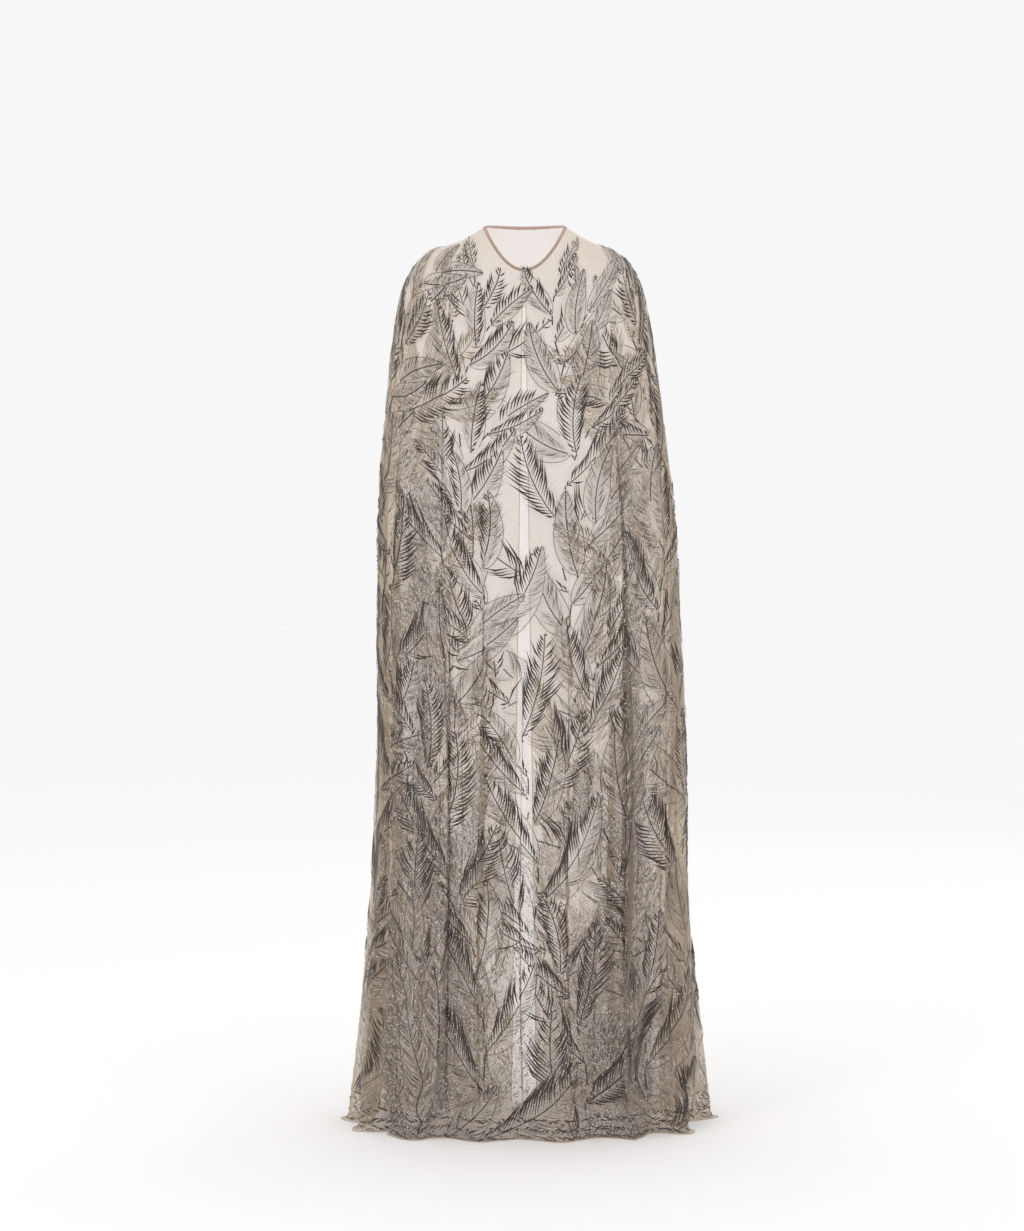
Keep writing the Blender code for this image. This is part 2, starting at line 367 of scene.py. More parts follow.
# Silk tulle, knotted into a fine net: most light passes, more threads lie in the way where the
# cloth turns from the eye, and it has a faint silky sheen. Where it is worked, the finest filling
# stitches, too small to model, close and darken the net, and the brightest flecks there are
# painted pale as painted glints
tulleLook = {
    "colour": "D6C4AE",
    "glow": "E6D5BF",         # of light that comes through it
    "worked": "695A4D",
    "workedGlow": "7E6C5A",
    # the pale colour of the painted glints on worked net
    "paintedGlintColour": "E6DED6",
    "cover": 0.29,            # how much of the light plain net stops, and worked net
    "workedCover": 0.72,
    "mostCover": 0.93,
    "mostTurned": 0.6,        # facing at which the layers in the way stop adding up
    "through": 0.35,          # share of the light that threads let through
    "netPitch": 0.0026,       # the real net is 1 mm, drawn coarser so that it shows
    "netAngles": (30, -30),
    "fleck": 0.0026,          # size of the flecks of the filling, which close the net unevenly and of which the brightest carry the painted glints
    "clouds": 9.0,            # soft unevenness of the cloth, to the metre
    # from least and most of each pattern, to how far it changes the light that is stopped
    "netSpread": (0.2, 1.0, 0.75, 1.25),
    "fleckSpread": (0.36, 0.64, 0.30, 1.40),
    "cloudSpread": (0.3, 0.7, 0.9, 1.1),
    "paintedGlintSpread": (0.57, 0.66, 0.0, 0.75),  # and to how far the painted glint colour takes over
}
rangeEnds = ("From Min", "From Max", "To Min", "To Max")
bandSpacing = 0.314           # metres, of a wave texture whose scale is 1


def makeTulle(name, cover, colour, worked=True):
    look = tulleLook
    made, tree = newMaterial(name)
    uv = addNode(tree, "UVMap", uv_map="cut")
    waves = []
    for angle in look["netAngles"]:
        turned = addNode(tree, "Mapping", {"Rotation": (0, 0, math.radians(angle))}, {"Vector": uv})
        waves.append(addNode(tree, "TexWave", {
            "Scale": bandSpacing / look["netPitch"], "Distortion": 0.6, "Detail": 1.0,
            "Detail Scale": 2.0,
        }, {"Vector": turned}, wave_type="BANDS", bands_direction="X").outputs["Fac"])
    net = addNode(tree, "Math", links={0: waves[0], 1: waves[1]}, operation="MAXIMUM")
    cloud = addNode(tree, "TexNoise", {
        "Scale": look["clouds"], "Detail": 3.0, "Roughness": 0.55,
    }, {"Vector": uv})
    silk = addNode(tree, "BsdfPrincipled", {
        "Base Color": linear(colour), "Roughness": 0.55, "Sheen Weight": 0.35,
        "Sheen Roughness": 0.4, "Specular IOR Level": 0.35,
    })
    through = addNode(tree, "BsdfTranslucent", {"Color": linear(look["glow"])})
    thick = addNode(tree, "MapRange", dict(zip(rangeEnds, look["netSpread"])), {"Value": net})
    if worked:
        # the net closes and darkens by its work times the flecks, and the brightest flecks of the
        # worked net are painted pale as painted glints
        work = addNode(tree, "Attribute", attribute_name="work").outputs["Fac"]
        flecks = addNode(tree, "TexNoise", {
            "Scale": 1 / look["fleck"], "Detail": 2.0, "Roughness": 0.6,
        }, {"Vector": uv})
        fleck = addNode(tree, "MapRange", dict(zip(rangeEnds, look["fleckSpread"])),
                        {"Value": flecks})
        closed = addNode(tree, "Math", links={0: work, 1: fleck}, operation="MULTIPLY",
                         use_clamp=True)
        full = addNode(tree, "MapRange", {"To Min": cover, "To Max": look["workedCover"]},
                       {"Value": closed})
        thick = addNode(tree, "Math", links={0: thick, 1: full}, operation="MULTIPLY")
        dye, glow = (
            addNode(tree, "Mix", {6: linear(bare), 7: linear(look[dark])}, {0: closed},
                    data_type="RGBA").outputs[2]
            for bare, dark in ((colour, "worked"), (look["glow"], "workedGlow"))
        )
        paintedGlint = addNode(tree, "MapRange", dict(zip(rangeEnds, look["paintedGlintSpread"])),
                         {"Value": flecks})
        paintedGlint = addNode(tree, "Math", links={0: paintedGlint, 1: work}, operation="MULTIPLY")
        dye = addNode(tree, "Mix", {7: linear(look["paintedGlintColour"])}, {0: paintedGlint, 6: dye},
                      data_type="RGBA").outputs[2]
        tree.links.new(dye, silk.inputs["Base Color"])
        tree.links.new(glow, through.inputs["Color"])
    else:
        thick = addNode(tree, "Math", {1: cover}, {0: thick}, operation="MULTIPLY")
    uneven = addNode(tree, "MapRange", dict(zip(rangeEnds, look["cloudSpread"])), {"Value": cloud})
    stopped = addNode(tree, "Math", links={0: thick, 1: uneven}, operation="MULTIPLY")
    stopped = addNode(tree, "Math", {1: look["mostCover"]}, {0: stopped}, operation="MINIMUM")
    # light that gets through: the clear share to the power of the layers in the way
    facing = addNode(tree, "LayerWeight", {"Blend": 0.5}).outputs["Facing"]
    straight = addNode(tree, "Math", {0: 1.0}, {1: facing}, operation="SUBTRACT")
    straight = addNode(tree, "Math", {1: look["mostTurned"]}, {0: straight}, operation="MAXIMUM")
    layers = addNode(tree, "Math", {0: 1.0}, {1: straight}, operation="DIVIDE")
    clear = addNode(tree, "Math", {0: 1.0}, {1: stopped}, operation="SUBTRACT")
    clear = addNode(tree, "Math", links={0: clear, 1: layers}, operation="POWER")
    cloth = addNode(tree, "MixShader", {0: look["through"]}, {1: silk, 2: through})
    hole = addNode(tree, "BsdfTransparent")
    mixed = addNode(tree, "MixShader", links={0: clear, 1: cloth, 2: hole})
    addNode(tree, "OutputMaterial", links={0: mixed})
    return made


# Twisted rayon embroidery thread: soft lustre along each stitch, dye a little uneven
threadLook = {"roughness": 0.42, "sheen": 0.25, "dyeSway": 0.12}


def makeThread(name, dark, light):
    made, tree = newMaterial(name)
    tone = addNode(tree, "Attribute", attribute_name="tone").outputs["Fac"]
    place = addNode(tree, "TexCoord").outputs["Object"]
    dye = addNode(tree, "TexNoise", {"Scale": 14.0, "Detail": 2.0}, {"Vector": place})
    twist = addNode(tree, "TexNoise", {"Scale": 900.0, "Detail": 2.0}, {"Vector": place})
    sway = addNode(tree, "MapRange", {
        "From Min": 0.3, "From Max": 0.7,
        "To Min": -threadLook["dyeSway"], "To Max": threadLook["dyeSway"],
    }, {"Value": dye})
    shade = addNode(tree, "Math", links={0: tone, 1: sway}, operation="ADD", use_clamp=True)
    colour = addNode(tree, "Mix", {6: linear(dark), 7: linear(light)}, {0: shade}, data_type="RGBA")
    bump = addNode(tree, "Bump", {"Strength": 0.4, "Distance": 0.0002}, {"Height": twist})
    thread = addNode(tree, "BsdfPrincipled", {
        "Roughness": threadLook["roughness"], "Sheen Weight": threadLook["sheen"],
        "Specular IOR Level": 0.4,
    }, {"Base Color": colour.outputs[2], "Normal": bump})
    addNode(tree, "OutputMaterial", links={0: thread})
    return made


# Small cut glass beads, silver lined, under a clear coat. Their colour runs at random from grey to
# near white: partly the pale glass and partly a painted glint of the silver lining
beadLook = {"colour": "FAF8F5", "dull": "BDB6AE", "roughness": 0.2, "metallic": 0.15}


def makeBead():
    made, tree = newMaterial("silverLinedGlass")
    tone = addNode(tree, "Attribute", attribute_name="tone").outputs["Fac"]
    # grey to near white at random by tone; the near white is partly a painted glint of the lining
    ends = {6: linear(beadLook["dull"]), 7: linear(beadLook["colour"])}
    colour = addNode(tree, "Mix", ends, {0: tone}, data_type="RGBA").outputs[2]
    bead = addNode(tree, "BsdfPrincipled", {
        "Roughness": beadLook["roughness"], "Metallic": beadLook["metallic"], "Coat Weight": 0.4,
    }, {"Base Color": colour})
    addNode(tree, "OutputMaterial", links={0: bead})
    return made


# Silk satin cut on the bias: slanting weave lines, soft gloss
bindingLook = {"colour": "BFA196", "shade": "A68A7F", "weavePitch": 0.0009}


def makeBinding():
    made, tree = newMaterial("biasSilkSatin")
    uv = addNode(tree, "UVMap", uv_map="cut")
    turned = addNode(tree, "Mapping", {"Rotation": (0, 0, math.radians(45))}, {"Vector": uv})
    pitch = {"Scale": bandSpacing / bindingLook["weavePitch"], "Distortion": 0.4}
    weave = addNode(tree, "TexWave", pitch, {"Vector": turned}, wave_type="BANDS",
                    bands_direction="X").outputs["Fac"]
    cloud = addNode(tree, "TexNoise", {"Scale": 60.0, "Detail": 3.0}, {"Vector": uv})
    blend = addNode(tree, "Math", links={0: weave, 1: cloud}, operation="MULTIPLY")
    ends = {6: linear(bindingLook["shade"]), 7: linear(bindingLook["colour"])}
    colour = addNode(tree, "Mix", ends, {0: blend}, data_type="RGBA").outputs[2]
    bump = addNode(tree, "Bump", {"Strength": 0.5, "Distance": 0.0003}, {"Height": weave})
    satin = addNode(tree, "BsdfPrincipled", {
        "Roughness": 0.45, "Sheen Weight": 0.3, "Specular IOR Level": 0.45,
    }, {"Base Color": colour, "Normal": bump})
    addNode(tree, "OutputMaterial", links={0: satin})
    return made


# Drawn steel wire, blackened: dull with fine draw marks along it
def makeWire():
    made, tree = newMaterial("drawnSteelWire")
    place = addNode(tree, "TexCoord").outputs["Object"]
    marks = addNode(tree, "TexNoise", {"Scale": 700.0, "Detail": 3.0}, {"Vector": place})
    rough = addNode(tree, "MapRange", {"To Min": 0.28, "To Max": 0.5}, {"Value": marks})
    wire = addNode(tree, "BsdfPrincipled", {"Base Color": linear("8A8580"), "Metallic": 1.0},
                   {"Roughness": rough})
    addNode(tree, "OutputMaterial", links={0: wire})
    return made


looks = {
    "tulle": makeTulle("silkTulle", tulleLook["cover"], tulleLook["colour"]),
    "edge": makeTulle("silkTulleTurned", 0.5, "CDBBA8", worked=False),
    "bold": makeThread("rayonThreadDark", "241B15", "4E4036"),
    "fine": makeThread("rayonThreadTaupe", "362B23", "C2B5A7"),
    "seed": makeThread("rayonThreadPale", "30261F", "E2DAD1"),
    "bead": makeBead(),
    "binding": makeBinding(),
    "wire": makeWire(),
}
print("materials made")


# the camera and the studio

studio = {
    "cameraDistance": 4.85,
    "cameraHeight": 1.05,   # above the floor
    "pixelsPerUnit": 2755,  # focal length in the photo's pixels
    "horizon": 527,
    "axisColumn": 524,
    "imageSize": (1024, 1231),
    "sensor": 36,
    "floor": "FAF9F8",
    "floorReach": 24,
    "room": "F8F7F8",       # a white room, seen as the background
    "lightAim": (0, 0, -0.75),
    "overhead": 0.15,       # a weak sun that lifts the floor to the walls' white
}


def makeStudio():
    width, height = studio["imageSize"]
    lens = studio["pixelsPerUnit"] / height * studio["sensor"]
    down = (height / 2 - studio["horizon"]) / studio["pixelsPerUnit"]
    aside = (studio["axisColumn"] - width / 2) / studio["pixelsPerUnit"]
    place = Vector((0, -studio["cameraDistance"], studio["cameraHeight"] - cloak["napeHeight"]))
    aim = place + Vector((-aside, 1, -down)) * studio["cameraDistance"]
    data = bpy.data.cameras.new("camera")
    data.sensor_width = studio["sensor"]
    data.lens = lens
    data.clip_end = 60
    camera = bpy.data.objects.new("camera", data)
    camera.location = place
    camera.rotation_euler = (aim - place).to_track_quat("-Z", "Y").to_euler()
    bpy.context.scene.collection.objects.link(camera)
    bpy.context.scene.camera = camera

    # the floor is a flat square of even cells round the cloak
    side = np.linspace(-studio["floorReach"], studio["floorReach"], 9)
    across, along = np.meshgrid(side, side[::-1])
    square = np.stack([across, along, np.full(across.shape, -cloak["napeHeight"])], axis=-1)
    made, tree = newMaterial("paintedStudioFloor")  # matt emulsion on board, rolled on
    paint = addNode(tree, "BsdfPrincipled", {
        "Base Color": linear(studio["floor"]), "Roughness": 0.8, "Specular IOR Level": 0.2,
    })
    addNode(tree, "OutputMaterial", links={0: paint})
    floor = addPiece("studioFloor", square, gridFaces(len(side), len(side)), made, body=None)

    lights = {  # name: place, size, watts
        "keyLight": ((-2.6, -3.4, 1.4), 1.6, 22),
        "fillLight": ((2.9, 2.6, 1.2), 2.2, 10),
        "topLight": ((0.0, 0.4, 2.2), 2.4, 8),
    }
    for name, (spot, size, watts) in lights.items():
        lamp = bpy.data.lights.new(name, "AREA")
        lamp.shape = "DISK"
        lamp.size = size
        lamp.energy = watts
        holder = bpy.data.objects.new(name, lamp)
        holder.location = spot
        towards = Vector(studio["lightAim"]) - Vector(spot)
        holder.rotation_euler = towards.to_track_quat("-Z", "Y").to_euler()
        bpy.context.scene.collection.objects.link(holder)
    sun = bpy.data.lights.new("overheadLight", "SUN")
    sun.energy = studio["overhead"]
    sun.angle = math.radians(120)
    bpy.context.scene.collection.objects.link(bpy.data.objects.new("overheadLight", sun))
    world = bpy.data.worlds.new("softRoom")
    world.use_nodes = True
    world.node_tree.nodes["Background"].inputs["Color"].default_value = linear(studio["room"])
    bpy.context.scene.world = world
    bpy.context.scene.view_settings.view_transform = "Standard"
    bpy.context.scene.cycles.transparent_max_bounces = 28


makeStudio()
print("camera and studio made")


# tulle panels

shell = {
    "rows": 140,
    "columns": {"back": 500, "left": 260, "right": 260},
    "fineRows": 560,        # of the table on which the stitches lie
    "fineColumns": 1000,
    "top": 0.0062,          # just below the binding
    "bend": 1.556,          # where the hem starts to turn out
    "plainRows": 0.88,      # share of the rows above that
}


def evenCloth(panel, rows, columns):
    # a table of the panel with its points evenly spaced across each row, and where each lies on
    # the flat cut: across from the middle of the back or from the front edge, and down. Rows are
    # closer where the hem bends
    most = int(rows * shell["plainRows"])
    down = np.concatenate([
        np.linspace(shell["top"], shell["bend"], most, endpoint=False),
        np.linspace(shell["bend"], hemDown, rows - most),
    ])
    first, last = panels[panel][0](down), panels[panel][1](down)
    share = np.linspace(0, 1, columns)
    around = first[:, None] * (1 - share) + last[:, None] * share
    points = hangingCloth(around, down[:, None])
    steps = np.linalg.norm(np.diff(points, axis=1), axis=-1)
    across = np.concatenate([np.zeros((rows, 1)), np.cumsum(steps, axis=1)], axis=1)
    even = np.stack([np.interp(share * a[-1], a, x) for a, x in zip(across, around)])
    width = across[:, -1]
    start = np.full(rows, {"back": 0.5, "left": 0.0, "right": 1.0}[panel])
    if panel == "back":
        start = np.array([np.interp(0.0, x, a) for a, x in zip(across, around)]) / width
    return {
        "down": down, "width": width, "start": start, "points": hangingCloth(even, down[:, None]),
        "across": (share - start[:, None]) * width[:, None],
    }


def clothNormals(points):
    # outward directions of a grid: rows run down and columns to the right as seen from outside
    downwards = np.gradient(points, axis=0)
    acrosswards = np.gradient(points, axis=1)
    normal = np.cross(downwards, acrosswards)
    return normal / np.linalg.norm(normal, axis=-1, keepdims=True)


def cutArea(points):
    u = points[1:, :-1] - points[:-1, :-1]
    v = points[:-1, 1:] - points[:-1, :-1]
    return float(np.linalg.norm(np.cross(u, v), axis=-1).sum())


nodeOf = {"back": "back_panel", "left": "front_panel_left", "right": "front_panel_right"}
shells, areas, shellPlaces = {}, {}, {}
for name in panels:
    table = evenCloth(name, shell["rows"], shell["columns"][name])
    rows, columns = table["points"].shape[:2]
    faces = gridFaces(rows, columns)
    piece = addPiece(name + "Tulle", table["points"], faces, looks["tulle"])
    setUv(piece, table["across"], table["down"][:, None] * np.ones(columns))
    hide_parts(nodeOf[name])
    shells[name], areas[name] = piece, cutArea(table["points"])
    shellPlaces[name] = (table["across"], table["down"][:, None] * np.ones(columns))
print("tulle panels made", {k: round(v, 3) for k, v in areas.items()},
      "hems", {k: round(float(np.ptp(v[0][-1])), 3) for k, v in shellPlaces.items()})


# embroidery: leaf sprays worked in long and short stitches

fineCloth = {}
for name in panels:
    table = evenCloth(name, shell["fineRows"], shell["fineColumns"])
    table["normals"] = clothNormals(table["points"])
    fineCloth[name] = table


def between(table, row, column):
    # a table's values at loose places, from the four cells round each
    row = np.clip(row, 0, table.shape[0] - 1.001)
    column = np.clip(column, 0, table.shape[1] - 1.001)
    r, c = row.astype(int), column.astype(int)
    fr, fc = row - r, column - c
    if table.ndim > 2:
        fr, fc = fr[..., None], fc[..., None]
    upper = table[r, c] * (1 - fc) + table[r, c + 1] * fc
    lower = table[r + 1, c] * (1 - fc) + table[r + 1, c + 1] * fc
    return upper * (1 - fr) + lower * fr


def onCloth(panel, across, down, lift):
    # points that lie on the hanging panel at places of the flat cut, raised by lift along the
    # outward direction, and which of the places are on the cloth at all
    table = fineCloth[panel]
    rows, columns = table["points"].shape[:2]
    row = np.interp(down, table["down"], np.arange(rows))
    width = np.interp(down, table["down"], table["width"])
    start = np.interp(down, table["down"], table["start"])
    column = (across / width + start) * (columns - 1)
    inside = (column > 0) & (column < columns - 1) & (down > table["down"][0]) & (down < hemDown)
    place, outward = (between(table[part], row, column) for part in ("points", "normals"))
    return place + outward * np.asarray(lift)[..., None], inside


spray = {
    "hem": 1.588,          # the lowest stitches
    "neck": 0.034,         # plain tulle below the neck
    "stations": 120,       # of a stem
    "tilt": 24,            # degrees that a spray leans at its foot, to one side or the other
    "bend": 62,            # and turns back over its length
    "bareFoot": 0.008,     # stem without leaves at either end
    "bareTip": 0.012,
    "leafLong": (0.240, 0.120),  # length of the leaves at a spray's foot and tip
    "endLeaf": 0.132,      # and of the one at its end
    "leafAngle": (50.6, 34.5),   # degrees from the stem, at foot and tip
    "leafWidth": 0.34,     # of its length
    "leafStep": 0.33,      # from one leaf to the next, of its length
    "boldPitch": 0.0072,
    "boldThread": 0.0032,
    "boldLong": (0.80, 1.35),  # of the way to the leaf's edge
    "finePitch": 0.0036,
    "fineThread": 0.0015,
    "fineLong": (0.55, 1.15),
    "slant": 36,           # degrees between stitch and midrib
    "gap": 0.0007,         # between midrib and stitch
    "shortest": 0.0025,    # stitch
    "bow": 0.07,           # how far a stitch bends, of its length
    "end": 0.97,           # of the leaf's length, where its stitches stop
    "layers": (0.0008, 0.0014),  # height above the net of the lowest and highest leaf
    "beadSides": 6,
    "beadSize": 0.0010,    # half its width
    "beadHigh": 0.9,       # of that
    "beadLift": 0.0015,
    "beads": 14,           # for each leaf
    "works": (0, 2, 0, 1, 0, 2, 1),  # in turn: 0 half bold and half fine, 1 all bold, 2 all fine
}

# Tiers of leaf sprays, from the hem up: length down of the feet, sprays side by side from seam
# to seam, or from the front edge to the seam, length of a spray, size of its leaves, and how far
# from the middle to the seam the first stands
tiers = {
    "back": (
        (1.600, 6, 0.40, 1.05, 0.0),
        (1.340, 5, 0.42, 1.10, 0.0),
        (1.110, 5, 0.40, 1.05, 0.0),
        (0.880, 4, 0.38, 0.98, 0.0),
        (0.660, 4, 0.34, 0.90, 0.0),
        (0.450, 4, 0.26, 0.80, 0.0),
        (0.280, 4, 0.17, 0.62, 0.0),
    ),
    "front": (
        (1.600, 3, 0.40, 1.00, 0.0),
        (1.330, 3, 0.40, 1.00, 0.0),
        (1.080, 2, 0.34, 0.90, 0.0),
        (0.820, 2, 0.32, 0.82, 0.2),
        (0.560, 2, 0.28, 0.74, 0.4),
        (0.340, 2, 0.18, 0.60, 0.3),
    ),
}

# Windows of plain tulle in the filling between the sprays: middle across, middle down, half size
# across and half size down
windows = {
    "back": (
        (0.010, 0.900, 0.080, 0.170),
        (0.110, 1.130, 0.045, 0.100),
        (-0.100, 0.640, 0.055, 0.110),
        (0.150, 0.700, 0.050, 0.110),
        (-0.150, 0.950, 0.045, 0.090),
        (-0.090, 1.220, 0.040, 0.080),
        (0.470, 1.180, 0.085, 0.200),
        (-0.460, 1.060, 0.080, 0.220),
        (-0.360, 0.560, 0.040, 0.130),
        (0.370, 0.520, 0.040, 0.120),
    ),
    "front": (
        (0.000, 0.700, 0.150, 0.400),
        (0.120, 1.060, 0.060, 0.140),
        (0.220, 0.760, 0.050, 0.110),
        (0.030, 1.280, 0.040, 0.100),
        (0.440, 1.120, 0.110, 0.240),
        (0.360, 0.540, 0.060, 0.160),
    ),
}

# Seeding between the sprays: short fine stitches in rows that flow with the leaves. Its two
# dense zones are given by where each starts and where it is full: a length down for the lower
# cloth, and a share of the way to the side seam for the sides
seeding = {
    "cellAcross": 0.0030,
    "cellDown": 0.0048,
    "swayAcross": 0.0014,  # how far a stitch lies from its cell's middle
    "swayDown": 0.0020,
    "long": 0.0100,
    "thread": 0.0016,
    "flow": 0.75,          # radians by which the rows swing, and each stitch from its row
    "flowSway": 0.22,
    "flowWaves": (0.21, 0.52),   # lengths of the swing, across and down
    "flowBend": 0.35,
    "lowFrom": {"back": (0.66, 1.16), "front": (0.90, 1.30)},
    "sideFrom": {"back": (0.16, 0.50), "front": (0.40, 0.85)},
    "sideDown": (0.30, 0.52),    # lengths down over which the sides' zone begins
    "wobble": 0.30,        # how uneven its borders are, and how wide their fade
    "border": 0.25,
    "thinMiddle": 0.50,    # how much sparser it is in the middle, and at the side seams
    "thinSeam": 0.78,
    "middleWidth": 0.13,
    "seamFrom": (0.5, 0.7),
    "inLeaf": 0.14,        # how much of it is left between a leaf's stitches
    "leafClosed": (0.75, 0.6, 1.0),  # how closely each work of leaf covers its place
    "leafWork": 0.42,      # how far a leaf closes the net
    "underLeaf": 0.25,     # how much less the filling closes it there
    "beadReach": 0.64,
    "beads": 9000,         # scattered over the cut, of which those in the filling are kept
    "patch": 0.0025,       # cell of the table that says where leaves lie
    "cells": (800, 560),
    "reach": 0.70,         # from the middle of the back to the table's edge
}


def halfWidth(panel, down):
    # the cut's width from the middle of the back, or from the front edge, to the side seam
    table = fineCloth[panel]
    return np.interp(down, table["down"], table["width"]) * (0.5 if panel == "back" else 1.0)


def runLength(path):
    # length from a path's start to each of its points
    return np.append(0, np.cumsum(np.linalg.norm(np.diff(path, axis=0), axis=1)))


def sprayTable(panel, rng):
    # the leaves of each spray: its stem is an arc up the cut, and leaves stand off it to either
    # side in turn, shorter towards the tip. Returns a row for each leaf, foot across, foot down,
    # heading, length, bend, hand and work, and the stems as runs of points
    kind = "back" if panel == "back" else "front"
    leaves, runs = [], []
    for tier, (foot, number, long, size, first) in enumerate(tiers[kind]):
        for i in range(number):
            place = (i + 0.5 + rng.uniform(-0.12, 0.12)) / number
            place = 2 * place - 1 if kind == "back" else first + (1 - first) * place
            lean = 1 if rng.random() < 0.5 else -1
            tilt = lean * spray["tilt"] + rng.uniform(-6, 6)
            bend = -lean * spray["bend"] * rng.uniform(0.8, 1.15)
            work = spray["works"][(2 * tier + i) % len(spray["works"])]
            share = np.linspace(0, 1, spray["stations"])
            heading = math.pi / 2 - np.radians(tilt + bend * share)
            step = long / len(share)
            down = foot + rng.uniform(-0.03, 0.03) - step * np.cumsum(np.sin(heading))
            across = place * halfWidth(panel, down) + step * np.cumsum(np.cos(heading))
            length = runLength(np.stack([across, down], axis=1))
            heading = np.unwrap(np.arctan2(-np.gradient(down), np.gradient(across)))
            runs.append((across, down))
            at, hand = spray["bareFoot"], 1 if rng.random() < 0.5 else -1
            while at < length[-1] - spray["bareTip"]:
                leaf = size * np.interp(at, [0, length[-1]], spray["leafLong"])
                leaf *= rng.uniform(0.88, 1.12)
                angle = np.interp(at, [0, length[-1]], spray["leafAngle"]) + rng.uniform(-5, 5)
                turn = math.radians(angle) * hand
                a, d, h = (np.interp(at, length, run) for run in (across, down, heading))
                leaves.append((a, d, h - turn, leaf, turn * rng.uniform(0.5, 1.1), hand, work))
                at += leaf * spray["leafStep"] * rng.uniform(0.9, 1.1)
                hand = -hand
            leaves.append((across[-1], down[-1], heading[-1], size * spray["endLeaf"],
                           -math.radians(bend) * 0.4, 1, work))
    leaves = np.array(leaves)
    if panel == "right":
        leaves[:, 0] *= -1
        leaves[:, 2] = math.pi - leaves[:, 2]
        leaves[:, 4:6] *= -1
        runs = [(-across, down) for across, down in runs]
    return leaves, runs


def midribPoint(leaves, share):
    # a leaf's midrib is an arc: from its foot, turning by bend over its length
    h0, bend, length = leaves[:, 2:3], leaves[:, 4:5], leaves[:, 3:4]
    bend = np.where(np.abs(bend) < 1e-3, 1e-3, bend)
    heading = h0 + bend * share
    across = leaves[:, 0:1] + length * (np.sin(heading) - np.sin(h0)) / bend
    down = leaves[:, 1:2] + length * (np.cos(heading) - np.cos(h0)) / bend
    return across, down, heading


def leafEdge(leaves, share):
    # half a leaf's width along its length: a sine, drawn out towards the tip
    return leaves[:, 3:4] * spray["leafWidth"] / 2 * np.sin(math.pi * share**0.72) ** 0.85


def leafOwners(leaves):
    # a table of cells over the cut with the number of the leaf that lies there, or -1. A leaf
    # passes behind those that come before it in the table
    owners = np.full(seeding["cells"], -1)
    share = np.linspace(0.01, 0.985, 150)[None, :]
    a, d, h = midribPoint(leaves, share)
    edge = leafEdge(leaves, share)
    off = np.linspace(-1, 1, 45)[:, None]
    for k in range(len(leaves)):
        half = off * edge[k]
        row, column = cellOf(a[k] - half * np.sin(h[k]), d[k] - half * np.cos(h[k]))
        free = owners[row, column] < 0
        owners[row[free], column[free]] = k
    return owners


def cellOf(across, down):
    rows, columns = seeding["cells"]
    column = np.clip((across + seeding["reach"]) / seeding["patch"], 0, columns - 1).astype(int)
    return np.clip(down / seeding["patch"], 0, rows - 1).astype(int), column


def leafMap(owners, leaves):
    # how far each cell is worked as leaf, blurred over its neighbours
    closed = np.array(seeding["leafClosed"])[leaves[:, 6].astype(int)]
    table = np.where(owners < 0, 0, closed[owners])
    for axis in (0, 1, 0, 1):
        table = (np.roll(table, 1, axis) + 2 * table + np.roll(table, -1, axis)) / 4
    return table


def inMap(table, across, down):
    # the leaf map's value at places of the cut
    column = (across + seeding["reach"]) / seeding["patch"] - 0.5
    return between(table, down / seeding["patch"] - 0.5, column)


def filling(panel, across, down):
    # how dense the seeding is: the greater of the two zones' ramps with a border that wobbles by
    # a product of two bent sines, less a bell at the middle, a ramp at the seams and the windows
    kind = "back" if panel == "back" else "front"
    low = np.interp(down, seeding["lowFrom"][kind], [0, 1])
    share = np.abs(across) / halfWidth(panel, down)
    aside = np.interp(share, seeding["sideFrom"][kind], [0, 1])
    aside = aside * np.interp(down, seeding["sideDown"], [0, 1])
    wobble = np.sin(across * 41 + 2.2 * np.sin(down * 13))
    wobble = wobble * np.sin(down * 29 + 1.7 * np.sin(across * 19))
    amount = np.maximum(low, aside) + seeding["wobble"] * wobble
    amount = np.clip((amount - 0.5) / seeding["border"] + 0.5, 0, 1)
    middle = np.exp(-((across / seeding["middleWidth"]) ** 2))
    amount = amount * (1 - seeding["thinMiddle"] * middle)
    amount = amount * (1 - seeding["thinSeam"] * np.interp(share, seeding["seamFrom"], [0, 1]))
    for wx, wd, halfAcross, halfDown in windows[kind]:
        place = across if kind == "back" else np.abs(across)
        far = np.sqrt(((place - wx) / halfAcross) ** 2 + ((down - wd) / halfDown) ** 2)
        amount = amount * np.clip((far - 0.8) / 0.4, 0, 1)
    return amount


def raisedShapes(panel, across, down, height, keep, corners, under, tone):
    # small raised shapes, one in each row of places, whose last point is the highest and stands
    # over the middle of the points under it. A face that looks inwards is turned round
    points, inside = onCloth(panel, across, down, height)
    keep = keep & inside.all(axis=1)
    points = points[keep]
    faces = np.arange(len(points))[:, None, None] * across.shape[1] + np.array(corners)
    up = points[:, -1] - points[:, under].mean(axis=1)
    outward = np.cross(points[:, 1] - points[:, 0], points[:, -1] - points[:, 0])
    wrong = (outward * up).sum(axis=1) < 0
    faces[wrong] = faces[wrong][:, :, ::-1]
    return points.reshape(-1, 3), faces.reshape(-1, 3), tone[keep].ravel()


def inWork(down):
    return (down < spray["hem"]) & (down > spray["neck"])


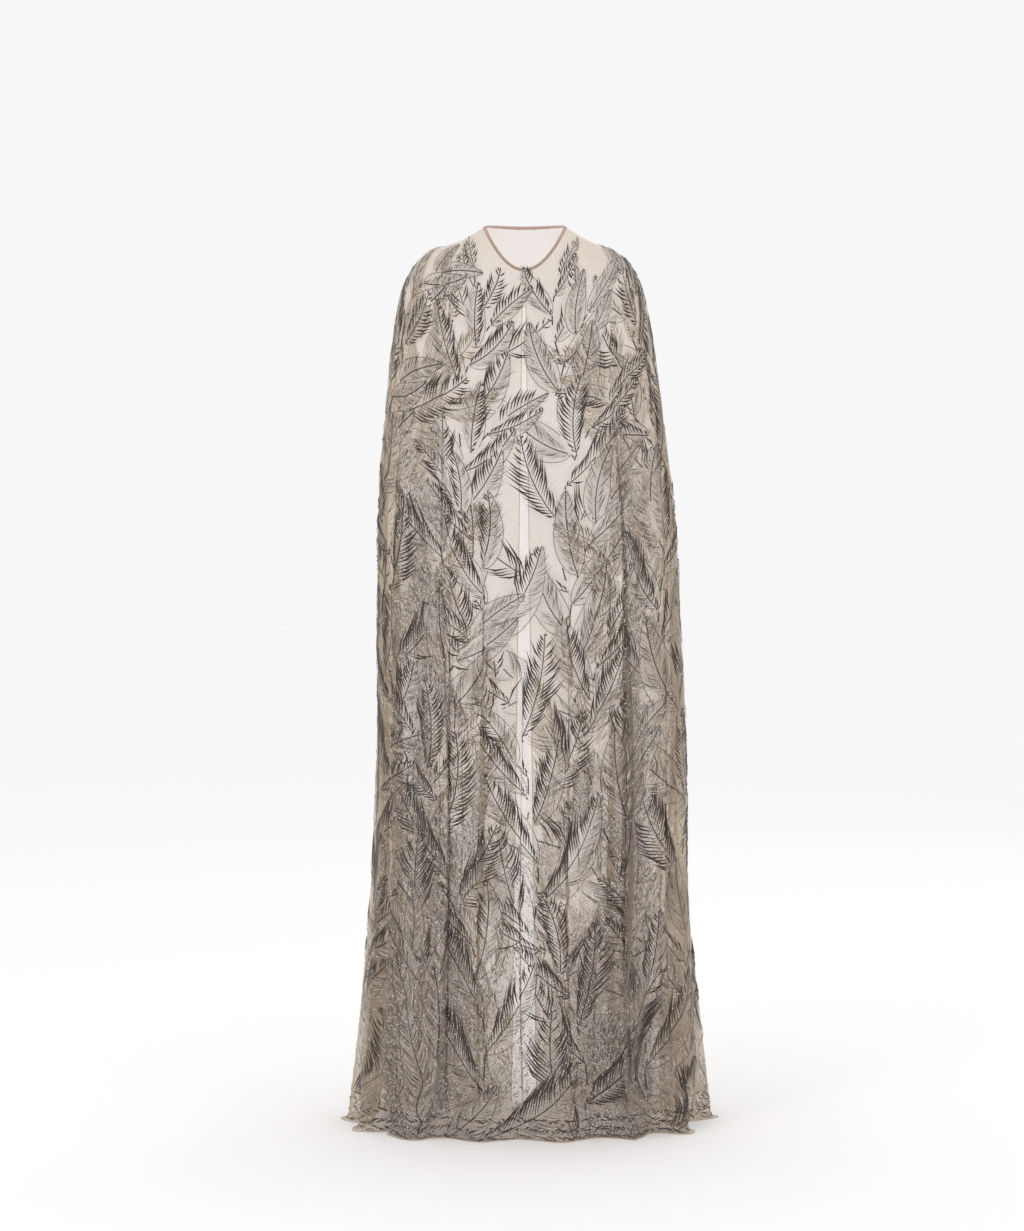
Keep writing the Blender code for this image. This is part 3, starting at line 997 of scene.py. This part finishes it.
def stitchMesh(panel, start, end, bow, halfThread, lift, tone):
    # spindle stitches: five points each, start, a side, end, the other side and a higher ridge
    run = end - start
    long = np.linalg.norm(run, axis=-1, keepdims=True)
    cross = np.stack([-run[:, 1], run[:, 0]], axis=-1) / np.maximum(long, 1e-6)
    middle = (start + end) / 2 + cross * bow[:, None]
    half = cross * halfThread[:, None]
    flat = np.stack([start, middle - half, end, middle + half, middle], axis=1)
    height = np.stack([lift, lift, lift, lift, lift + halfThread * 0.8], axis=1)
    return raisedShapes(
        panel, flat[..., 0], flat[..., 1], height, inWork(start[:, 1]) & inWork(end[:, 1]),
        [(0, 1, 4), (1, 2, 4), (2, 3, 4), (3, 0, 4)], [1, 3],
        # tone is 0.1 darker at the start and 0.12 lighter at the end of each stitch, and the raised
        # ridge is painted 0.05 lighter as a painted highlight
        tone[:, None] + np.array([-0.1, 0.0, 0.12, 0.0, 0.05]),
    )


def leafStitches(panel, leaves, numbers, owners, hand, work, rng, tones, layer):
    # long and short stitches along one side of every midrib, slanting forwards to the leaf's
    # edge, wherever the leaf isn't behind another
    pitch, thread, reach = (spray[work + part] for part in ("Pitch", "Thread", "Long"))
    count = int(leaves[:, 3].max() / pitch) + 1
    at = (np.arange(count)[None, :] + 0.5 + rng.uniform(-0.15, 0.15, (len(leaves), count))) * pitch
    share = at / leaves[:, 3:4]
    real = share < spray["end"]
    share = np.clip(share, 0, spray["end"])
    across, down, heading = midribPoint(leaves, share)
    slant = math.radians(spray["slant"])
    long = leafEdge(leaves, share) / math.sin(slant) * rng.uniform(*reach, share.shape)
    way = heading + hand * leaves[:, 5:6] * slant
    forward = np.stack([np.cos(way), -np.sin(way)], axis=-1)
    start = np.stack([across, down], axis=-1) + spray["gap"] * forward
    run = long[..., None] * forward
    for part in (0.3, 0.6):
        place = start + run * part
        real &= owners[cellOf(place[..., 0], place[..., 1])] == numbers[:, None]
    real &= long > spray["shortest"]
    start, run, long = start[real], run[real], long[real]
    bow = -hand * np.repeat(leaves[:, 5:6], count, axis=1)[real] * long * spray["bow"]
    half = np.full(len(start), thread / 2) * rng.uniform(0.8, 1.2, len(start))
    lift = np.repeat(layer[:, None], count, axis=1)[real]
    tone = rng.uniform(*tones, len(start))
    return stitchMesh(panel, start, start + run, bow, half, lift, tone)


stemStitch = {
    "step": 0.0056,
    "long": 0.0086,        # so each overlaps the next
    "slant": 0.35,         # how far its ends lie to either side of the line, of the thread
    "toneSway": 0.1,
    # thread, height above the net and tone of each kind of line
    "midrib": (0.0023, 0.0017, 0.15),
    "stem": (0.0029, 0.0020, 0.15),
    "rim": (0.0012, 0.0016, 0.7),
}


def stemStitches(panel, runs, numbers, owners, kind, rng):
    # stem stitch: short slanting stitches that overlap along each run, wherever the cloth there
    # belongs to the run's own leaf or, at a leaf's rim, to none
    thread, lift, tone = stemStitch[kind]
    slip = thread * stemStitch["slant"]
    starts, ends, own = [], [], []
    for (across, down), number in zip(runs, numbers):
        length = runLength(np.stack([across, down], axis=1))
        at = np.arange(0, length[-1] - 0.004, stemStitch["step"])
        end = at + stemStitch["long"]
        a0, d0 = np.interp(at, length, across), np.interp(at, length, down)
        a1, d1 = np.interp(end, length, across), np.interp(end, length, down)
        way = np.arctan2(d1 - d0, a1 - a0)
        starts.append(np.stack([a0 - slip * np.sin(way), d0 + slip * np.cos(way)], axis=-1))
        ends.append(np.stack([a1 + slip * np.sin(way), d1 - slip * np.cos(way)], axis=-1))
        own.append(np.full(len(at), number))
    start, end, own = np.concatenate(starts), np.concatenate(ends), np.concatenate(own)
    under = owners[cellOf((start[:, 0] + end[:, 0]) / 2, (start[:, 1] + end[:, 1]) / 2)]
    shown = (under == own) | (under < 0)
    start, end = start[shown], end[shown]
    n, sway = len(start), stemStitch["toneSway"]
    return stitchMesh(panel, start, end, np.zeros(n), np.full(n, thread / 2), np.full(n, lift),
                      rng.uniform(tone - sway, tone + sway, n))


def beadMesh(panel, places, size, tone):
    # each bead is a low dome: a circle of points and one above its middle
    sides = spray["beadSides"]
    turn = np.linspace(0, 2 * math.pi, sides, endpoint=False)
    rim = places[:, None] + size[:, None, None] * np.stack([np.cos(turn), np.sin(turn)], axis=-1)
    flat = np.concatenate([rim, places[:, None]], axis=1)
    height = np.full(flat.shape[:2], spray["beadLift"])
    height[:, -1] += size * spray["beadHigh"]
    return raisedShapes(panel, flat[..., 0], flat[..., 1], height, inWork(places[:, 1]),
                        [(i, (i + 1) % sides, sides) for i in range(sides)], list(range(sides)),
                        np.repeat(tone[:, None], sides + 1, axis=1))


def joinMeshes(parts):
    points, faces, tones = zip(*parts)
    offsets = np.cumsum([0] + [len(p) for p in points[:-1]])
    faces = [f + offset for f, offset in zip(faces, offsets)]
    return np.concatenate(points), np.concatenate(faces), np.concatenate(tones)


def seedStitches(panel, table, rng):
    # one stitch in each cell of a half-drop grid, thinned where the filling is sparse. Its
    # direction is a sine of its place, so neighbours lie nearly alike and rows flow
    reach = halfWidth(panel, fineCloth[panel]["down"]).max()
    first, last = {"back": (-reach, reach), "left": (0, reach), "right": (-reach, 0)}[panel]
    across = np.arange(first, last, seeding["cellAcross"])
    down = np.arange(spray["neck"], spray["hem"], seeding["cellDown"])
    a, d = np.meshgrid(across, down)
    d = d + (np.arange(len(across)) % 2)[None, :] * seeding["cellDown"] / 2
    a = (a + rng.normal(0, seeding["swayAcross"], a.shape)).ravel()
    d = (d + rng.normal(0, seeding["swayDown"], d.shape)).ravel()
    amount = filling(panel, a, d) * (1 - (1 - seeding["inLeaf"]) * inMap(table, a, d))
    keep = (rng.random(len(a)) < amount) & (np.abs(a) < halfWidth(panel, d))
    a, d = a[keep], d[keep]
    acrossWave, downWave = (2 * math.pi / wave for wave in seeding["flowWaves"])
    flow = np.sin(acrossWave * a + 2 * math.pi * seeding["flowBend"] * np.sin(downWave * d))
    flow = math.pi / 2 + seeding["flow"] * flow + rng.normal(0, seeding["flowSway"], len(a))
    tone = rng.beta(0.55, 0.9, len(a))
    half = seeding["long"] / 2 * rng.uniform(0.6, 1.25, len(a)) * (1 - 0.55 * tone)
    run = np.stack([half * np.cos(flow), -half * np.sin(flow)], axis=-1)
    middle = np.stack([a, d], axis=-1)
    thread = seeding["thread"] / 2 * rng.uniform(0.7, 1.2, len(a))
    lift = 0.0003 + 0.0003 * rng.random(len(a))
    return stitchMesh(panel, middle - run, middle + run, np.zeros(len(a)), thread, lift, tone)


hemBorder = {
    "rows": (1.581, 1.566, 1.549),  # lengths down
    "reach": 0.66,         # to either side of the middle of the back, or past a front edge
    "step": 0.0058,
    "long": 0.020,
    "thread": 0.0026,
    "lift": 0.0006,
    "slant": 52,           # degrees
    "oneWay": 0.75,        # share of a row's stitches that slant the same way
}


def hemStitches(panel, rng):
    # rows of short bold stitches along the hem that slant one way and the other
    across = np.arange(-hemBorder["reach"], hemBorder["reach"], hemBorder["step"])
    count = len(across)
    middles, runs = [], []
    for row, down in enumerate(hemBorder["rows"]):
        way = np.where(rng.random(count) < hemBorder["oneWay"], 1, -1) * (-1) ** row
        turn = math.radians(hemBorder["slant"]) * way + rng.normal(0, 0.25, count)
        half = hemBorder["long"] / 2 * rng.uniform(0.5, 1.1, count)
        middles.append(np.stack([across + rng.normal(0, 0.0015, count),
                                 down + rng.normal(0, 0.0025, count)], axis=-1))
        runs.append(np.stack([half * np.sin(turn), half * np.cos(turn) * 0.5], axis=-1))
    middle, run = np.concatenate(middles), np.concatenate(runs)
    n = len(middle)
    thread, lift = np.full(n, hemBorder["thread"] / 2), np.full(n, hemBorder["lift"])
    return stitchMesh(panel, middle - run, middle + run, np.zeros(n), thread, lift,
                      rng.uniform(0.0, 0.9, n))


seeds = {"back": 8, "left": 18, "right": 20}  # of the random draws


def embroider(panel):
    # all the work on one panel, a mesh for each kind, and how closed the net is under it
    rng = np.random.default_rng(seeds[panel])
    leaves, runs = sprayTable(panel, rng)
    owners = leafOwners(leaves)
    table = leafMap(owners, leaves)
    numbers = np.arange(len(leaves))
    work = leaves[:, 6]
    lowest, highest = spray["layers"]
    layer = lowest + (highest - lowest) * rng.random(len(leaves))
    bold, fine = [], []
    for hand, kinds, into, name, tones in (
        (1, (0, 1), bold, "bold", (0.0, 0.6)),
        (-1, (1,), bold, "bold", (0.0, 0.6)),
        (-1, (0, 2), fine, "fine", (-0.1, 1.0)),
        (1, (2,), fine, "fine", (-0.1, 1.0)),
    ):
        some = np.isin(work, kinds)
        into.append(leafStitches(
            panel, leaves[some], numbers[some], owners, hand, name, rng, tones, layer[some]
        ))
    bold.append(hemStitches(panel, rng))
    share = np.linspace(0, 0.985, 24)[None, :]
    across, down, heading = midribPoint(leaves, share)
    ribs = [stemStitches(panel, list(zip(across, down)), numbers, owners, "midrib", rng),
            stemStitches(panel, runs, [-1] * len(runs), owners, "stem", rng)]
    for hand, kinds in ((1, (2,)), (-1, (0, 2))):
        some = np.isin(work, kinds)
        edge = hand * leafEdge(leaves, share)
        rimAcross, rimDown = across - edge * np.sin(heading), down - edge * np.cos(heading)
        rims = list(zip(rimAcross[some], rimDown[some]))
        ribs.append(stemStitches(panel, rims, numbers[some], owners, "rim", rng))
    number = len(leaves) * spray["beads"]
    pick = rng.integers(0, len(leaves), number)
    where = rng.uniform(0.08, 0.9, (number, 1))
    a, d, h = midribPoint(leaves[pick], where)
    off = rng.uniform(-1, 1, (number, 1)) * leafEdge(leaves[pick], where)
    places = np.concatenate([a - off * np.sin(h), d - off * np.cos(h)], axis=1)
    reach, number = seeding["beadReach"], seeding["beads"]
    a, d = rng.uniform(-reach, reach, number), rng.uniform(0.2, spray["hem"], number)
    kept = rng.random(len(a)) < filling(panel, a, d)
    places = np.concatenate([places, np.stack([a[kept], d[kept]], axis=-1)])
    size = rng.uniform(0.7, 1.2, len(places)) * spray["beadSize"]
    beads = [beadMesh(panel, places, size, rng.random(len(places)))]
    rows = [seedStitches(panel, table, rng)]
    made = []
    for name, parts, look in (
        ("Bold", bold, "bold"), ("Fine", fine, "fine"), ("Stems", ribs, "bold"),
        ("Seeding", rows, "seed"), ("Beads", beads, "bead"),
    ):
        points, faces, tone = joinMeshes(parts)
        piece = addPiece(panel + name, points, faces, looks[look], smooth=name != "Beads")
        setTone(piece, tone)
        made.append(piece)
        print(piece.name, len(faces), "triangles")
    across, down = shellPlaces[panel]
    leaf = inMap(table, across, down)
    full = filling(panel, across, down) * (1 - seeding["underLeaf"] * leaf)
    work = np.maximum(full, seeding["leafWork"] * leaf)
    work = work * np.clip((spray["hem"] - down) / 0.002, 0, 1)
    layer = shells[panel].data.attributes.new("work", "FLOAT", "POINT")
    layer.data.foreach_set("value", work.astype(np.float32).ravel())
    return made


worked = {name: embroider(name) for name in panels}


# turned edges, side seams and the bound neck

edging = {
    "radius": 0.0009,
    "round": 0.005,         # all the way round it
    "sides": 6,
    "hemInset": 0.0004,
    "hemStations": {"back": 700, "left": 360, "right": 360},
    "downStations": 420,
    "top": 0.0066,          # just below the binding, to just above the hem's edge
    "foot": hemDown - 0.001,
    "seamWidth": 0.0030,
    "seamLift": 0.0004,
}


def gridNormalsAt(around, down):
    # outward direction of the hanging cloth at loose places, by small steps each way
    h = 1e-4
    across = hangingCloth(around + h, down) - hangingCloth(around - h, down)
    lower, upper = np.minimum(down + h, hemDown), np.maximum(down - h, 0)
    normal = np.cross(hangingCloth(around, lower) - hangingCloth(around, upper), across)
    return normal / np.linalg.norm(normal, axis=-1, keepdims=True)


def addEdge(name, around, down):
    # a thin round tube carried along the turned edge: a circle across the path at each point
    path, outward = hangingCloth(around, down), gridNormalsAt(around, down)
    aside = np.cross(np.gradient(path, axis=0), outward)
    aside /= np.linalg.norm(aside, axis=1, keepdims=True)
    sides = edging["sides"]
    turn = np.linspace(0, 2 * math.pi, sides, endpoint=False)[None, :, None]
    circle = outward[:, None] * np.cos(turn) + aside[:, None] * np.sin(turn)
    faces = gridFaces(len(path), sides, closed=True)
    piece = addPiece(name, path[:, None] + edging["radius"] * circle, faces, looks["edge"])
    across = np.tile(np.linspace(0, edging["round"], sides), len(path))
    setUv(piece, across, np.repeat(runLength(path), sides))
    return piece


edges = {name: [] for name in panels}
for name, (first, last) in panels.items():
    share = np.linspace(0, 1, edging["hemStations"][name])
    low = np.array([hemDown])
    around = first(low) * (1 - share) + last(low) * share
    down = np.full(len(share), hemDown - edging["hemInset"])
    edges[name].append(addEdge(name + "HemEdge", around, down))
edgeDown = np.linspace(edging["top"], edging["foot"], edging["downStations"])
for name, sign in (("left", -1), ("right", 1)):
    edges[name].append(addEdge(name + "FrontEdge", frontEdge(edgeDown, sign), edgeDown))


def addSeam(name, sign):
    # a narrow closed seam: a flat strip over both panels' edges, lying just outside them
    down = edgeDown
    speed = ringSpeed(down, ringValue("back", down))
    share = np.linspace(-0.5, 0.5, edging["sides"])
    around = sign * 0.5 + share[None, :] * (edging["seamWidth"] / speed)[:, None]
    points = hangingCloth(around, down[:, None])
    points = points + clothNormals(points) * edging["seamLift"]
    piece = addPiece(name, points, gridFaces(len(down), len(share)), looks["edge"])
    setUv(piece, np.tile(share * edging["seamWidth"], len(down)), np.repeat(down, len(share)))
    return piece


edges["back"] += [addSeam("leftSideSeam", -1), addSeam("rightSideSeam", 1)]

binding = {
    "stations": 420,
    "sides": 16,
    "long": 0.36,
    "thick": 0.0020,
    "round": 0.016,         # all the way round its section
    "corner": 0.6,          # power that flattens an oval's sides
    "pucker": 0.00018,
    # wave length, strength and start of each sine of the pucker
    "waves": ((0.0071, 1.0, 0), (0.0113, 0.7, 1), (0.0193, 0.5, 2)),
}


def addBinding():
    # a folded strip round the neck edge: an oval with flat sides, 6 mm tall and 2 mm thick,
    # carried round the neck. Its sides pucker by a sum of three sines
    edge = float(frontEdge(np.zeros(1), 1)[0])
    around = np.linspace(-edge, edge, binding["stations"])
    turn = np.linspace(0, 2 * math.pi, binding["sides"], endpoint=False)
    half = cloak["bindingWidth"] / 2
    along, out = (
        size * np.sign(wave) * np.abs(wave) ** binding["corner"]
        for size, wave in ((half, np.cos(turn)), (binding["thick"] / 2, np.sin(turn)))
    )
    length = np.linspace(0, binding["long"], binding["stations"])
    pucker = binding["pucker"] * sum(
        strength * np.sin(length * 2 * math.pi / wave + start)
        for wave, strength, start in binding["waves"]
    )
    down = np.clip(half + along, 0, None)
    middle = hangingCloth(around[:, None], down[None, :])
    normal = gridNormalsAt(*np.broadcast_arrays(around[:, None], np.maximum(down, 0.001)[None]))
    points = middle + normal * (out[None, :] + np.sign(out)[None, :] * pucker[:, None])[..., None]
    faces = gridFaces(len(around), len(turn), closed=True)
    rows, sides = len(around), len(turn)
    flat = points.reshape(-1, 3)
    caps = []
    for row in (0, rows - 1):
        centre = flat[row * sides : (row + 1) * sides].mean(axis=0)
        flat = np.concatenate([flat, centre[None]])
        ring = row * sides + np.arange(sides)
        caps.append(np.stack([np.full(sides, len(flat) - 1), ring, np.roll(ring, -1)], axis=-1))
    triangles = np.concatenate(
        [faces[:, [0, 1, 2]], faces[:, [0, 2, 3]], caps[0], caps[1][:, ::-1]]
    )
    piece = addPiece("neckBinding", flat, triangles, looks["binding"])
    across = np.tile(np.linspace(0, binding["round"], sides), rows)
    setUv(piece, np.append(across, [0, 0]), np.append(np.repeat(length, sides), [0, length[-1]]))
    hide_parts("neck_binding")
    return piece


neckBinding = addBinding()
for node in ("neck_hook", "neck_eye"):
    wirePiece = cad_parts[node]
    for entry in wirePiece.material_slots:
        entry.material = looks["wire"]
print("edges, seams and binding made")


print("all pieces made")
